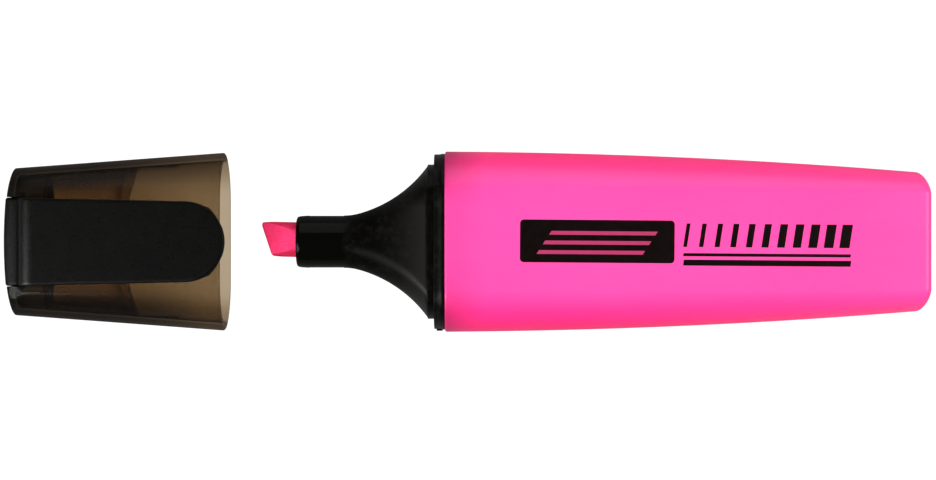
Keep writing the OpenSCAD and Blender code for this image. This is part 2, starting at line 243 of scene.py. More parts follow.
class Nodes:
    """A material's node tree, with short calls for the nodes that the materials here use."""

    def __init__(self, name):
        self.material = bpy.data.materials.new(name)
        self.material.use_nodes = True
        self.tree = self.material.node_tree
        self.shader = self.tree.nodes["Principled BSDF"]
        self.output = self.tree.nodes["Material Output"]
        coordinates = self.tree.nodes.new("ShaderNodeTexCoord")
        self.place = coordinates.outputs["Object"]
        self.turned = coordinates.outputs["Normal"]

    def link(self, a, b):
        self.tree.links.new(a, b)

    def set(self, **values):
        for name, value in values.items():
            self.shader.inputs[name.replace("_", " ")].default_value = value

    def stretched(self, scale):
        """The object's own coordinates, scaled along each axis."""
        node = self.tree.nodes.new("ShaderNodeMapping")
        node.inputs["Scale"].default_value = scale
        self.link(self.place, node.inputs["Vector"])
        return node.outputs["Vector"]

    def noise(self, size, detail=3.0, rough=0.5, vector=None):
        """Noise whose lumps are about size metres across."""
        node = self.tree.nodes.new("ShaderNodeTexNoise")
        node.inputs["Scale"].default_value = 1 / size
        node.inputs["Detail"].default_value = detail
        node.inputs["Roughness"].default_value = rough
        self.link(vector or self.place, node.inputs["Vector"])
        return node.outputs["Fac"]

    def ramp(self, value, low, high, out_low=0.0, out_high=1.0):
        """Maps value from low..high to out_low..out_high, and holds the ends."""
        node = self.tree.nodes.new("ShaderNodeMapRange")
        for name, number in (
            ("From Min", low), ("From Max", high), ("To Min", out_low), ("To Max", out_high)
        ):
            node.inputs[name].default_value = number
        self.link(value, node.inputs["Value"])
        return node.outputs["Result"]

    def math(self, how, a, b):
        node = self.tree.nodes.new("ShaderNodeMath")
        node.operation = how
        for socket, value in zip(node.inputs, (a, b)):
            if isinstance(value, (int, float)):
                socket.default_value = value
            else:
                self.link(value, socket)
        return node.outputs["Value"]

    def plus(self, a, b):
        return self.math("ADD", a, b)

    def times(self, a, b):
        return self.math("MULTIPLY", a, b)

    def mix(self, factor, a, b):
        """A colour between a and b, each a colour or another node's output."""
        node = self.tree.nodes.new("ShaderNodeMix")
        node.data_type = "RGBA"
        self.link(factor, node.inputs["Factor"])
        for socket, value in ((node.inputs[6], a), (node.inputs[7], b)):
            if isinstance(value, tuple):
                socket.default_value = (*value, 1)
            else:
                self.link(value, socket)
        return node.outputs[2]

    def dimmed(self, colour, factor):
        """A colour scaled by a factor."""
        node = self.tree.nodes.new("ShaderNodeVectorMath")
        node.operation = "SCALE"
        self.link(colour, node.inputs[0])
        self.link(factor, node.inputs["Scale"])
        return node.outputs["Vector"]

    def bump(self, height, distance, strength=1.0, under=None):
        node = self.tree.nodes.new("ShaderNodeBump")
        node.inputs["Distance"].default_value = distance
        node.inputs["Strength"].default_value = strength
        self.link(height, node.inputs["Height"])
        if under:
            self.link(under, node.inputs["Normal"])
        return node.outputs["Normal"]

    def axis(self, name, vector=None):
        """The X, Y or Z of the object's own coordinates, or of another vector."""
        node = self.tree.nodes.new("ShaderNodeSeparateXYZ")
        self.link(vector or self.place, node.inputs[0])
        return node.outputs[name]

    def along(self, name, low, high, out_low=0.0, out_high=1.0):
        """Maps places low..high along an axis to out_low..out_high, and holds the ends."""
        return self.ramp(self.axis(name), low, high, out_low, out_high)

    def aside(self):
        """The distance from the pen's middle, to either side."""
        return self.math("ABSOLUTE", self.axis("Y"), 0.0)

    def mixed(self, factor, a, b):
        """A shader between a and b."""
        node = self.tree.nodes.new("ShaderNodeMixShader")
        for socket, value in zip(node.inputs, (factor, a, b)):
            self.link(value, socket)
        return node.outputs[0]

    def surface(self, shader):
        self.link(shader, self.output.inputs["Surface"])

    def colour(self, value):
        self.link(value, self.shader.inputs["Base Color"])

    def roughness(self, value):
        self.link(value, self.shader.inputs["Roughness"])

    def specular(self, value):
        self.link(value, self.shader.inputs["Specular IOR Level"])

    def emission(self, value):
        self.link(value, self.shader.inputs["Emission Strength"])

    def normal(self, value):
        self.link(value, self.shader.inputs["Normal"])


def pink_plastic():
    """Fluorescent polypropylene: a satin skin, faint flow marks, fine specks and handling scuffs.

    Painted shade makes it deeper towards the sides, and duller along the low side and at the collar,
    where the nose's black skirt backs the wall. Its glow stands in for fluorescence and is painted light.
    """
    m = Nodes("barrel_plastic")
    flow = m.noise(14 * MM, 4, vector=m.stretched((0.35, 1, 1)))
    base = m.mix(m.ramp(flow, 0.35, 0.65), (1.0, 0.100, 0.490), (1.0, 0.118, 0.530))
    # Painted shade: deeper pink towards both sides, where they turn from the light.
    low_side_shade = m.along("Y", -12.5 * MM, -7.0 * MM, 1.0, 0.0)
    high_side_shade = m.along("Y", 8.5 * MM, 13.0 * MM)
    base = m.mix(low_side_shade, base, (1.0, 0.008, 0.225))
    base = m.mix(high_side_shade, base, (1.0, 0.028, 0.280))
    # Painted shade: duller at the collar, where the black skirt backs the wall, and along the low edge.
    to_sides = m.ramp(m.aside(), 5.0 * MM, 13.0 * MM, 0.25, 1.0)
    collar_shade = m.times(m.along("X", X_BARREL, X_BARREL + 6 * MM, 0.85, 0.0), to_sides)
    low_edge_shade = m.along("Y", -13.2 * MM, -11.0 * MM, 0.30, 0.0)
    painted_shade = m.math("MAXIMUM", collar_shade, low_edge_shade)
    base = m.mix(painted_shade, base, (0.42, 0.02, 0.13))
    specks = m.ramp(m.noise(0.55 * MM, 2), 0.74, 0.80)
    m.colour(m.mix(specks, base, (0.80, 0.03, 0.20)))
    scuff = m.ramp(m.noise(1.6 * MM, 5, 0.7, m.stretched((0.25, 1, 1))), 0.45, 0.75)
    m.roughness(m.plus(m.times(scuff, 0.10), 0.30))
    peel = m.bump(m.noise(0.9 * MM, 2), 0.012 * MM, 0.6)
    m.normal(m.bump(m.noise(0.16 * MM, 2), 0.004 * MM, 0.5, peel))
    m.set(
        Subsurface_Weight=0.25, Subsurface_Radius=(1.0, 0.25, 0.5), Subsurface_Scale=1.2 * MM,
        Emission_Color=(1.0, 0.008, 0.09, 1), Specular_IOR_Level=0.42,
    )
    # The glow stands in for fluorescence and is painted light; it is dimmed under the painted shade.
    m.emission(m.ramp(painted_shade, 0.0, 1.0, 0.46, 0.05))
    return m.material


def nose_plastic():
    """Black polypropylene: polished on the nozzle, satin and a little scuffed on the flare and collar.

    Towards the step ring the flare is painted paler: a painted highlight where it catches more light.
    """
    m = Nodes("nose_plastic")
    satin = m.along("X", X_FLARE - 0.3 * MM, X_FLARE + 0.6 * MM)
    scuff = m.ramp(m.noise(1.1 * MM, 6, 0.65), 0.48, 0.72)
    dust = m.ramp(m.noise(0.35 * MM, 2), 0.76, 0.80)
    worn = m.times(scuff, satin)
    base = m.mix(worn, (0.0022, 0.0021, 0.0017), (0.0090, 0.0086, 0.0075))
    # Painted highlight: the flare is paler towards the step ring.
    step_highlight = m.along("X", X_FLARE + 4 * MM, X_STEP - 0.4 * MM)
    step_highlight = m.times(step_highlight, m.along("X", X_STEP - 0.3 * MM, X_STEP, 1.0, 0.0))
    step_highlight = m.times(step_highlight, m.along("Y", 5 * MM, 8 * MM, 1.0, 0.0))
    base = m.mix(m.times(step_highlight, step_highlight), base, (0.0175, 0.0168, 0.0150))
    m.colour(m.mix(m.times(dust, satin), base, (0.05, 0.05, 0.045)))
    nozzle_gloss = m.along("X", X_FLARE, X_FLARE + 1 * MM, 0.085, 0.032)
    step_gloss = m.along("X", X_STEP - 4 * MM, X_STEP, 0.0, 0.068)
    m.specular(m.plus(nozzle_gloss, step_gloss))
    m.roughness(m.plus(m.plus(m.times(satin, 0.20), 0.12), m.times(worn, 0.12)))
    m.normal(m.bump(m.noise(0.3 * MM, 3), 0.006 * MM, 0.5))
    return m.material


def clip_plastic():
    """Black plastic with a spark-eroded grain and a few pale specks, glossier at its root and its bend."""
    m = Nodes("clip_plastic")
    grain = m.noise(0.22 * MM, 3, 0.6)
    specks = m.ramp(m.noise(0.3 * MM, 2, 0.5), 0.70, 0.78)
    broad = m.ramp(m.noise(4 * MM, 3), 0.35, 0.65)
    base = m.mix(broad, (0.0016, 0.0016, 0.0013), (0.0026, 0.0025, 0.0021))
    m.colour(m.mix(specks, base, (0.02, 0.02, 0.018)))
    bend_start = m.along("X", X_END + 2.1 * MM, X_END + 2.5 * MM)
    bend_end = m.along("X", X_END + 3.4 * MM, X_END + 4.4 * MM, 1.0, 0.0)
    rubbed = m.times(m.times(bend_start, bend_end), m.along("Y", -5 * MM, 6 * MM, 1.0, 0.25))
    root_to_arm = m.along("X", X_END + 0.9 * MM, X_END + 1.5 * MM, 0.17, 0.112)
    m.specular(m.plus(root_to_arm, m.times(rubbed, 0.24)))
    m.roughness(m.ramp(grain, 0.3, 0.7, 0.24, 0.42))
    m.normal(m.bump(grain, 0.045 * MM, 0.9))
    return m.material


def plug_plastic():
    """Plain black moulding, a little paler than the other blacks because it is seen through the cap."""
    m = Nodes("plug_plastic")
    flow = m.noise(2.5 * MM, 4)
    # Painted light: the colour is set paler than black to make up for light lost in the smoke cap.
    m.colour(m.mix(m.ramp(flow, 0.35, 0.65), (0.085, 0.080, 0.074), (0.110, 0.104, 0.096)))
    m.set(Specular_IOR_Level=0.20)
    m.roughness(m.ramp(flow, 0.3, 0.7, 0.36, 0.50))
    m.normal(m.bump(m.noise(0.3 * MM, 3), 0.005 * MM, 0.5))
    return m.material


def smoke_shade(m, facing, tint, dense_from):
    """What one surface of smoke-tinted plastic lets through: its tint, and less on a slanted path.

    Along the sides and across the closed end the path runs inside the wall, so there it is darker
    still; the side bands also carry painted shade, lighter towards the mouth. Painted shade darkens it
    a little round the liner's lip and along the low side ahead of it. Past dense_from, a place along X,
    it is four times as dense.
    """

    def passed(power):
        return tuple(c ** power for c in tint)

    flow = m.ramp(m.noise(9 * MM, 3, vector=m.stretched((0.5, 1, 1))), 0.3, 0.7)
    shade = m.mix(flow, passed(0.98), passed(1.06))
    # Painted shade round the liner's lip.
    lip_shade = m.times(
        m.along("X", seal_hi.x - 2.6 * MM, seal_hi.x - 1.6 * MM),
        m.along("X", seal_hi.x, seal_hi.x + 10 * MM, 1.0, 0.0),
    )
    shade = m.mix(lip_shade, shade, passed(1.36))
    if dense_from is not None:
        shade = m.mix(m.along("X", dense_from, dense_from + 0.2 * MM), shade, passed(4.0))
    shade = m.mix(m.ramp(facing, 0.0, 0.30), shade, passed(1.42))

    # The side bands are partly the longer path through the slanted wall and partly painted shade, lighter
    # towards the mouth.
    taper = (CAP_W - CAP_END_W) / 2 / CAP_LEN
    side_at = m.plus(m.times(m.axis("X"), taper), CAP_END_W / 2 - taper * X_END)
    reach = m.ramp(m.math("DIVIDE", m.aside(), side_at), 0.56, 0.96)
    slanting = m.times(m.times(reach, reach), m.ramp(facing, 0.0, 0.12))
    to_mouth = m.along("X", shell_hi.x - 18.5 * MM, shell_hi.x - 2.5 * MM)
    shade = m.mix(slanting, shade, m.mix(to_mouth, (0.27, 0.235, 0.20), (0.42, 0.37, 0.31)))
    depth = m.math("SUBTRACT", side_at, m.aside())
    in_side = m.times(m.ramp(depth, 0.90 * MM, 1.40 * MM, 1.0, 0.0), m.ramp(facing, 0.25, 0.42))
    shade = m.mix(in_side, shade, m.mix(to_mouth, (0.090, 0.070, 0.052), (0.210, 0.165, 0.120)))
    in_end = m.along("X", X_END + 1.15 * MM, X_END + 1.9 * MM, 1.0, 0.0)
    shade = m.mix(in_end, shade, (0.060, 0.055, 0.048))

    # Painted shade along the low side, ahead of the liner's lip.
    low_side_shade = m.along("Y", -9.5 * MM, -6.5 * MM, 1.0, 0.0)
    painted_low_shade = m.times(low_side_shade, m.along("X", shell_hi.x - 11 * MM, shell_hi.x - 3 * MM, 0.20, 0.0))
    painted_low_shade = m.times(painted_low_shade, m.along("X", seal_hi.x - 3 * MM, seal_hi.x, 0.35, 1.0))
    return m.dimmed(shade, m.math("SUBTRACT", 1.0, painted_low_shade))


def smoke_plastic(name, tint, roughness, gloss_weight, dense_from=None):
    """Smoke-tinted clear plastic: a tinted see-through body with a little haze, under a clear gloss."""
    m = Nodes(name)
    haze = m.ramp(m.noise(1.4 * MM, 5, 0.65), 0.45, 0.8)
    polish = m.plus(m.times(haze, 0.06), roughness)
    relief = m.bump(m.noise(3.5 * MM, 2), 0.006 * MM, 0.3)
    slanted = m.tree.nodes.new("ShaderNodeLayerWeight")
    slanted.inputs["Blend"].default_value = 0.5
    facing = slanted.outputs["Facing"]

    clear = m.tree.nodes.new("ShaderNodeBsdfTransparent")
    m.link(smoke_shade(m, facing, tint, dense_from), clear.inputs["Color"])
    m.set(Base_Color=(0.19, 0.175, 0.155, 1))
    m.roughness(polish)
    m.normal(relief)
    body = m.mixed(m.plus(m.times(haze, 0.02), 0.026), clear.outputs[0], m.shader.outputs[0])

    gloss = m.tree.nodes.new("ShaderNodeBsdfGlossy")
    m.link(polish, gloss.inputs["Roughness"])
    m.link(relief, gloss.inputs["Normal"])
    mirror = m.plus(m.times(m.math("POWER", facing, 5.0), 0.25), gloss_weight)
    m.surface(m.mixed(mirror, body, gloss.outputs[0]))
    return m.material


def nib_felt():
    """Ink-soaked felt: fibres along the rod, a matte skin, darker on the sides and where the ink pools."""
    m = Nodes("nib_felt")
    fibres = m.noise(0.16 * MM, 4, 0.6, m.stretched((0.12, 1, 1)))
    pool = m.ramp(m.noise(1.3 * MM, 3), 0.35, 0.7)
    base = m.mix(pool, (1.0, 0.075, 0.30), (1.0, 0.050, 0.22))
    # Painted shade: the felt is darker where its sides turn from straight up.
    upward = m.math("ABSOLUTE", m.axis("Z", m.turned), 0.0)
    side = m.ramp(upward, 0.72, 0.90, 1.0, 0.0)
    base = m.mix(side, base, (0.62, 0.012, 0.060))
    m.colour(m.mix(m.ramp(fibres, 0.30, 0.55), (0.90, 0.030, 0.15), base))
    m.roughness(m.ramp(fibres, 0.3, 0.7, 0.75, 0.95))
    fine = m.bump(m.noise(0.09 * MM, 3, 0.6), 0.02 * MM, 0.6)
    m.normal(m.bump(fibres, 0.04 * MM, 0.7, fine))
    # The glow stands in for the fluorescent ink and is painted light, weaker on the shaded sides.
    m.set(Emission_Color=(1.0, 0.01, 0.08, 1))
    m.emission(m.ramp(side, 0.0, 1.0, 0.42, 0.22))
    return m.material


def ink_fibre():
    """The reservoir's fibres, soaked with ink."""
    m = Nodes("ink_fibre")
    fibres = m.noise(0.2 * MM, 4, 0.6, m.stretched((0.05, 1, 1)))
    m.colour(m.mix(m.ramp(fibres, 0.3, 0.7), (0.85, 0.04, 0.22), (1.0, 0.16, 0.42)))
    m.roughness(m.ramp(fibres, 0.3, 0.7, 0.7, 0.95))
    m.normal(m.bump(fibres, 0.05 * MM, 0.8))
    return m.material


def wrap_film():
    """Thin clear film, a little wrinkled."""
    m = Nodes("wrap_film")
    wrinkle = m.noise(2.0 * MM, 4, 0.6, m.stretched((0.3, 1, 1)))
    m.colour(m.mix(m.ramp(wrinkle, 0.3, 0.7), (0.85, 0.55, 0.68), (0.95, 0.75, 0.83)))
    m.roughness(m.ramp(wrinkle, 0.3, 0.7, 0.08, 0.2))
    m.normal(m.bump(wrinkle, 0.06 * MM, 0.6))
    m.set(Alpha=0.45)
    return m.material


def print_ink():
    """Screen-printed black: a thin satin film with faint pinholes, where the pink comes through."""
    m = Nodes("print_ink")
    holes = m.ramp(m.noise(0.28 * MM, 3, 0.6), 0.72, 0.80)
    m.colour(m.mix(holes, (0.0040, 0.0010, 0.0006), (0.10, 0.008, 0.03)))
    m.set(Specular_IOR_Level=0.12)
    m.roughness(m.ramp(m.noise(1.2 * MM, 3), 0.3, 0.7, 0.38, 0.52))
    m.normal(m.bump(m.noise(0.12 * MM, 2), 0.004 * MM, 0.5))
    return m.material


def print_pink():
    """The label's inner strokes, left open in the black film."""
    m = Nodes("print_pink")
    holes = m.ramp(m.noise(0.3 * MM, 3, 0.6), 0.60, 0.75)
    m.colour(m.mix(holes, (0.62, 0.045, 0.17), (0.45, 0.030, 0.12)))
    m.roughness(m.ramp(m.noise(1.2 * MM, 3), 0.3, 0.7, 0.36, 0.50))
    m.normal(m.bump(m.noise(0.12 * MM, 2), 0.004 * MM, 0.5))
    return m.material


def wear(piece, material, body, slot, *nodes):
    """Dresses a new piece, puts it on its body and hides the CAD nodes that it stands for."""
    piece.data.materials.clear()
    piece.data.materials.append(material)
    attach(piece, body)
    if nodes:
        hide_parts(*nodes)


# ---- Barrel ----


def barrel_half_w(x):
    """Half the barrel's width: a taper that is slight at the collar and grows towards the tail."""
    s = (x - X_BARREL) / BARREL_LEN
    return BARREL_W / 2 - (BARREL_W - TAIL_W) / 2 * (STRAIGHT_TAPER * s + (1 - STRAIGHT_TAPER) * s * s)


def barrel_half_t(x):
    """Half the barrel's thickness: parallel at first, then a taper that grows towards the tail."""
    s = (x - X_BARREL) / BARREL_LEN
    k = max(0.0, s - PARALLEL_PART) / (1 - PARALLEL_PART)
    return BARREL_T / 2 - (BARREL_T - TAIL_T) / 2 * k * k


def barrel_section(x):
    """Section of the barrel's outside, with its rounded tail and front edge."""
    w = barrel_half_w(x) - inset(X_TAIL - x, TAIL_ROUND_X, TAIL_ROUND_Y)
    w -= inset(x - X_BARREL, FRONT_ROUND, FRONT_ROUND)
    t = barrel_half_t(x) - inset(X_TAIL - x, FACE_ROUND, FACE_ROUND)
    t -= inset(x - X_BARREL, FRONT_ROUND, FRONT_ROUND)
    return (x, w, t, min(FLAT_HALF, w - FACE_ROUND))


def cavity_section(x, gap=0.0):
    """Section of the barrel's inside, or of a plug in it that leaves a gap all round."""
    return (x, barrel_half_w(x) - BARREL_WALL - gap, barrel_half_t(x) - BARREL_WALL - gap, FLAT_HALF)


def scaled(section, k):
    """A section shrunk in its own plane."""
    return (section[0], section[1] * k, section[2] * k, section[3] * k)


def make_barrel():
    """The barrel as one closed skin: the tail's face, the outside, the front rim, then the cavity."""
    body_steps = 60
    round_steps = 14
    tail = barrel_section(X_TAIL)
    body_end = X_TAIL - TAIL_ROUND_X
    body_start = X_BARREL + FRONT_ROUND
    sections = [scaled(tail, k) for k in (NEARLY_SHUT, 0.4, 0.8)]
    for i in range(round_steps + 1):
        a = math.pi / 2 * (1 - i / round_steps)
        sections.append(barrel_section(body_end + TAIL_ROUND_X * math.sin(a)))
    for i in range(1, body_steps + 1):
        sections.append(barrel_section(body_end + (body_start - body_end) * i / body_steps))
    for i in range(1, EDGE_STEPS + 1):
        a = math.pi / 2 * i / EDGE_STEPS
        sections.append(barrel_section(body_start - FRONT_ROUND * math.sin(a)))
    cavity_steps = 12
    for i in range(cavity_steps + 1):
        sections.append(cavity_section(X_BARREL + (body_end - X_BARREL) * i / cavity_steps))
    sections.append(scaled(cavity_section(body_end), NEARLY_SHUT))
    barrel = loft("barrel_moulding", sections)
    gate_in = X_TAIL - 0.1 * MM
    gate_out = X_TAIL + 0.12 * MM
    gate_path = [(gate_in, 0.2 * MM), (gate_in, 0.9 * MM), (gate_out, 0.8 * MM), (gate_out, 0.1 * MM)]
    gate_sections = [(x, r, r, 0.05 * MM) for x, r in gate_path]
    cut(barrel, loft("tail_gate", rounded(gate_sections, (0, 0, 0.1 * MM, 0))), "UNION")
    return barrel


# ---- Nose section ----


def flare_rise(d):
    """Rise of the flare's outline at a distance d behind the nozzle: a tight arc, then a wide one."""
    tight_len = TIGHT_R * math.sin(TIGHT_ANGLE)
    wide_r = (FLARE_LEN - tight_len) / (math.sin(END_ANGLE) - math.sin(TIGHT_ANGLE))
    if d <= tight_len:
        return TIGHT_R * (1 - math.cos(math.asin(d / TIGHT_R)))
    a = math.asin(math.sin(TIGHT_ANGLE) + (d - tight_len) / wide_r)
    return TIGHT_R * (1 - math.cos(TIGHT_ANGLE)) + wide_r * (math.cos(TIGHT_ANGLE) - math.cos(a))


def flare_section(d):
    """Section of the flare, from the nozzle's circle to the step ring's flat-faced oval."""
    start_r = NOZZLE_R + FLARE_START
    k = d / FLARE_LEN
    w = start_r + (FLARE_W - start_r) * flare_rise(d) / flare_rise(FLARE_LEN)
    t = start_r + (FLARE_T - start_r) * k ** FLARE_T_POWER
    side = start_r + (FLARE_ARC - start_r) * k
    return (X_FLARE + d, w, t, w - side + FLARE_START)


def circle(x, r):
    """A section that is all but round, with faces just long enough to keep its points apart."""
    return (x, r, r, 0.04 * MM)


def make_nose():
    """One closed skin: out of the bore, over the nozzle, flare, step, flange and skirt, and back inside."""
    bore = NIB_R + 0.05 * MM
    bead_x = X_NOZZLE + 1.55 * MM
    bead_h = 0.04 * MM
    front = [
        circle(X_NOZZLE + 0.05 * MM, bore), circle(X_NOZZLE, bore + 0.15 * MM),
        circle(X_NOZZLE, NOZZLE_R - 0.20 * MM), circle(X_NOZZLE + 0.55 * MM, NOZZLE_R - 0.03 * MM),
        circle(bead_x - 0.5 * MM, NOZZLE_R - 0.01 * MM), circle(bead_x, NOZZLE_R + bead_h),
        circle(bead_x + 0.5 * MM, NOZZLE_R), circle(X_FLARE - 0.02 * MM, NOZZLE_R),
    ]
    path = rounded(front, (0, 0, 0.35 * MM, 0.3 * MM, 0.3 * MM, 0.4 * MM, 0.3 * MM, 0))
    flare_steps = 48
    path += [flare_section(FLARE_LEN * i / flare_steps) for i in range(flare_steps + 1)]
    step_flat = STEP_W - FLARE_ARC
    skirt_end = nose_hi.x
    skirt_t = 1.1 * MM
    gap = 0.05 * MM
    lip = 0.05 * MM
    ring = [
        (X_STEP, STEP_W, STEP_T, step_flat),
        (X_SEAT, STEP_W, STEP_T, step_flat),
        (X_SEAT, FLANGE_W - lip, FLANGE_H - lip, FLAT_HALF),
        (X_SEAT + 0.95 * MM, FLANGE_W - 0.02 * MM, FLANGE_H - 0.02 * MM, FLAT_HALF),
        (X_SEAT + 1.05 * MM, FLANGE_W + lip, FLANGE_H + lip, FLAT_HALF),
        (X_BARREL, FLANGE_W + lip, FLANGE_H + lip, FLAT_HALF),
        cavity_section(X_BARREL, gap),
        cavity_section(skirt_end, gap + 0.1 * MM),
        cavity_section(skirt_end, gap + skirt_t),
        cavity_section(X_BARREL, gap + skirt_t),
        circle(X_BARREL, bore + 1.2 * MM),
        circle(X_BARREL, bore),
    ]
    edge = 0.14 * MM
    path += rounded(ring, (edge, 0, edge, 0, 0, edge, 0, edge, 0, 0, 0, 0), 4)
    nose = loft("nose_moulding", path, closed=True, sharp=38)
    for vert in nose.data.vertices:
        if math.hypot(vert.co.y, vert.co.z - AXIS_Z) < bore + 0.2 * MM:
            vert.co.y += NIB_Y
    gate_w = 0.9 * MM
    gate_x = X_SEAT + 0.35 * MM
    gate_out = -FLANGE_W - lip - 0.16 * MM
    gate_in = -FLANGE_W - lip + 0.5 * MM
    cut(nose, block(
        "gate_nub", (gate_x, gate_out, AXIS_Z - gate_w / 2), (gate_x + gate_w, gate_in, AXIS_Z + gate_w / 2)
    ), "UNION")
    return nose


# ---- Nib ----


def make_nib():
    """A round felt rod with two facets and a slanted writing edge, its corners a little worn."""
    slant = math.tan(math.radians(19))
    slant_len = 7 * MM
    edge_half = 0.45 * MM
    wedge_len = nose_lo.x - X_NIB
    tip_lean = 0.1 * MM
    narrowed = 0.12 * MM
    narrowed_len = 2.2 * MM
    corner_worn = 0.75 * MM
    corner_from = 0.72
    around = 96
    steps = [0, 0.02, 0.05, 0.09, 0.14, 0.2, 0.3, 0.45, 0.7] + [1 + 0.35 * i for i in range(15)]
    steps = [s * MM for s in steps] + [nib_hi.x - X_NIB - 3 * MM, nib_hi.x - X_NIB]
    rings = []
    for s in steps:
        worn = inset(s, 0.3 * MM, 0.22 * MM)
        r = NIB_R - worn - narrowed * max(0.0, 1 - s / narrowed_len) ** 2
        fade = max(0.0, 1 - s / slant_len)
        lean = tip_lean * max(0.0, 1 - s / wedge_len)
        ring = []
        for j in range(around):
            a = 2 * math.pi * j / around
            y, z = r * math.cos(a), r * math.sin(a)
            x = X_NIB + s + slant * (NIB_R - y) * fade
            x += corner_worn * max(0.0, y / NIB_R - corner_from) * fade
            top = edge_half + (NIB_R - edge_half) * min(1.0, (x - X_NIB) / wedge_len) - worn * 0.6
            ring.append((x, NIB_Y + lean + y, AXIS_Z + max(-top, min(top, z))))
        rings.append(ring)
    return new_piece("nib_chisel", *capped_skin(rings), sharp=28)


# ---- Cap ----


def cap_section(u, draw=0.0):
    """Section of the cap at a distance u from its closed end, drawn in."""
    k = u / CAP_LEN
    w = CAP_END_W / 2 + (CAP_W - CAP_END_W) / 2 * k - draw
    t = CAP_END_T / 2 + (CAP_T - CAP_END_T) / 2 * k - draw
    return (X_END + u, w, t, CAP_END_FLAT + (CAP_FLAT - CAP_END_FLAT) * k - draw / 2)


def cap_skin(u):
    """Section of the cap's outside: its closed end bows out, and turns into the sides at soft corners."""
    x, w, t, f = cap_section(u, inset(CAP_LEN - u, RIM_ROUND, RIM_ROUND))
    w -= END_BOW_Y * max(0.0, 1 - math.sqrt(u / END_BOW_X)) ** END_BOW_POWER
    t -= inset(u, FACE_ROUND, FACE_ROUND)
    return (x, w, t, min(f, w - FACE_ROUND))


def make_cap_shell():
    """The shell as one closed skin, with the clip's slot cut into its end and guide ribs inside."""
    round_steps = 14
    body_steps = 16
    end = cap_skin(0)
    sections = [scaled(end, k) for k in (NEARLY_SHUT, 0.5, 0.85)]
    sections += [cap_skin(END_BOW_X * (i / round_steps) ** 2) for i in range(round_steps + 1)]
    body_end = CAP_LEN - RIM_ROUND
    sections += [
        cap_skin(END_BOW_X + (body_end - END_BOW_X) * i / body_steps) for i in range(1, body_steps + 1)
    ]
    for i in range(1, EDGE_STEPS + 1):
        a = math.pi / 2 * i / EDGE_STEPS
        sections.append(cap_skin(body_end + RIM_ROUND * math.sin(a)))
    inside = [CAP_LEN, CAP_LEN - 1 * MM]
    inside += [CAP_LEN + (END_WALL - CAP_LEN) * i / body_steps for i in range(2, body_steps + 1)]
    sections += [cap_section(u, CAP_WALL) for u in inside]
    sections += [scaled(cap_section(inside[-1], CAP_WALL), k) for k in (0.6, NEARLY_SHUT)]
    shell = loft("cap_shell_moulding", sections)
    slot_low = AXIS_Z + 1.1 * MM
    slot_w = 6.57 * MM
    slot_len = 2.9 * MM
    cut(shell, block(
        "slot", (X_END - MM, -slot_w, slot_low), (X_END + slot_len, slot_w, AXIS_Z + CAP_END_T)
    ))
    rib_start = seal_hi.x + 0.9 * MM
    rib_end = rib_start + 6 * MM
    rib_half = 0.35 * MM
    rib_inner = cap_section(rib_end - X_END, CAP_WALL)[1] - 0.6 * MM
    rib_outer = rib_inner + 1.1 * MM
    for y0, y1 in ((-rib_outer, -rib_inner), (rib_inner, rib_outer)):
        cut(shell, block(
            "rib", (rib_start, y0, AXIS_Z - rib_half), (rib_end, y1, AXIS_Z + rib_half)
        ), "UNION")
    return shell


def copied(node, name, sharp=30):
    """A new piece with the mesh of a CAD node, welded and smoothed."""
    weld = 0.002 * MM
    piece = bpy.data.objects.new(name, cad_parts[node].data.copy())
    bpy.context.scene.collection.objects.link(piece)
    bm = bmesh.new()
    bm.from_mesh(piece.data)
    bmesh.ops.remove_doubles(bm, verts=bm.verts, dist=weld)
    bm.to_mesh(piece.data)
    bm.free()
    smooth(piece, sharp)
    return piece


def make_liner():
    """The inner seal, its lip swept forwards at the sides and back in the middle, most on the far face."""
    liner = copied("cap_inner_seal", "cap_liner")
    half_w = 11.1 * MM
    half_t = 5.62 * MM
    lip_start = seal_hi.x - 4 * MM
    lip_full = seal_hi.x - 1.2 * MM
    ahead = 0.8 * MM
    back_at_axis = 1.15 * MM
    back_by_depth = 1.3 * MM
    for vert in liner.data.vertices:
        share = min(1.0, max(0.0, (vert.co.x - lip_start) / (lip_full - lip_start)))
        aside = min(1.0, abs(vert.co.y) / half_w) ** 2
        low = (AXIS_Z - vert.co.z) / half_t
        back = max(0.0, back_at_axis + back_by_depth * low) * (1 - aside)
        vert.co.x += share * (ahead * aside ** 2 - back)
    return liner


# ---- Clip ----

CLIP_W = clip_hi.y - clip_lo.y
TIP_R = 5.85 * MM
CLIP_T = 1.5 * MM
ARM_ROOT = (4.0 * MM, 7.43 * MM)
ARM_TIP = (32.6 * MM, 10.55 * MM)
BEAD_U = 30.9 * MM
BEAD_R = 1.1 * MM
CROWN_R = 90 * MM
CROWN_LEN = 2 * MM
TIP_U = ARM_TIP[0] - TIP_R
ARM_SLOPE = (ARM_TIP[1] - ARM_ROOT[1]) / (ARM_TIP[0] - ARM_ROOT[0])


def arm_top(u):
    """Height over the pen's axis of the arm's outer face, which is straight."""
    return ARM_ROOT[1] + ARM_SLOPE * (u - ARM_ROOT[0])


def clip_half_w(u):
    """Half the clip's width in plan: a straight taper, then the full round tip."""
    if u <= TIP_U:
        k = max(0.0, min(1.0, u / TIP_U))
        return CLIP_W / 2 + (TIP_R - CLIP_W / 2) * k
    return math.sqrt(max(0.0, TIP_R ** 2 - (u - TIP_U) ** 2))


